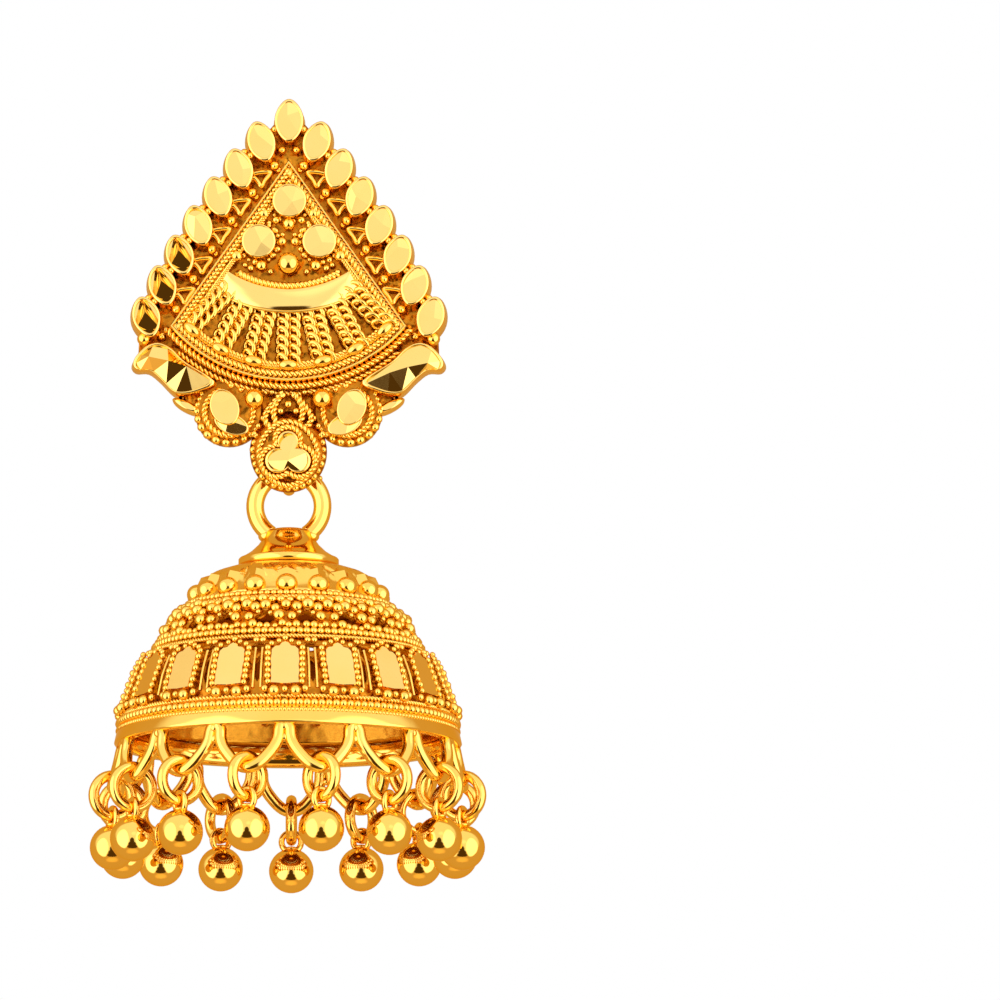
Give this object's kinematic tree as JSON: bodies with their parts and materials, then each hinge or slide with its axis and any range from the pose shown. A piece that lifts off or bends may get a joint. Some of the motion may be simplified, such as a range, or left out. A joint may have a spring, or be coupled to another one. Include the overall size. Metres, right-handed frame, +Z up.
{
  "type": "jhumka earring",
  "caption": "Gold jhumka earring: a kite-shaped stud on an ear post, with a bell-shaped drop hanging from it, fringed with beads on rings.",
  "frame": {"origin": "root of the ear post, on the flat back of the stud", "axes": "+Z up as worn, -Y out of the stud's front, +X to the right seen from the front"},
  "size_m": [0.0232, 0.0231, 0.0454],
  "materials": {
    "gold": "polished and diamond-cut yellow gold",
    "post_gold": "plain drawn and turned yellow gold"
  },
  "bodies": {
    "stud": {"stud": "gold", "ear_post": "post_gold"},
    "drop": {"bell": "gold", "jump_ring_01": "gold", "jump_ring_02": "gold", "jump_ring_03": "gold", "jump_ring_04": "gold", "jump_ring_05": "gold", "jump_ring_06": "gold", "jump_ring_07": "gold", "jump_ring_08": "gold", "jump_ring_09": "gold", "jump_ring_10": "gold", "jump_ring_11": "gold", "jump_ring_12": "gold", "jump_ring_13": "gold", "jump_ring_14": "gold", "jump_ring_15": "gold", "bead_drop_01": "gold", "bead_drop_02": "gold", "bead_drop_03": "gold", "bead_drop_04": "gold", "bead_drop_05": "gold", "bead_drop_06": "gold", "bead_drop_07": "gold", "bead_drop_08": "gold", "bead_drop_09": "gold", "bead_drop_10": "gold", "bead_drop_11": "gold", "bead_drop_12": "gold", "bead_drop_13": "gold", "bead_drop_14": "gold", "bead_drop_15": "gold"}
  },
  "joints": [
    {"name": "drop_swing", "type": "hinge", "parent": "stud", "child": "drop", "pos_m": [0, 0.0009, -0.01457], "axis": [1, 0, 0], "range_deg": [-22, 60]}
  ]
}
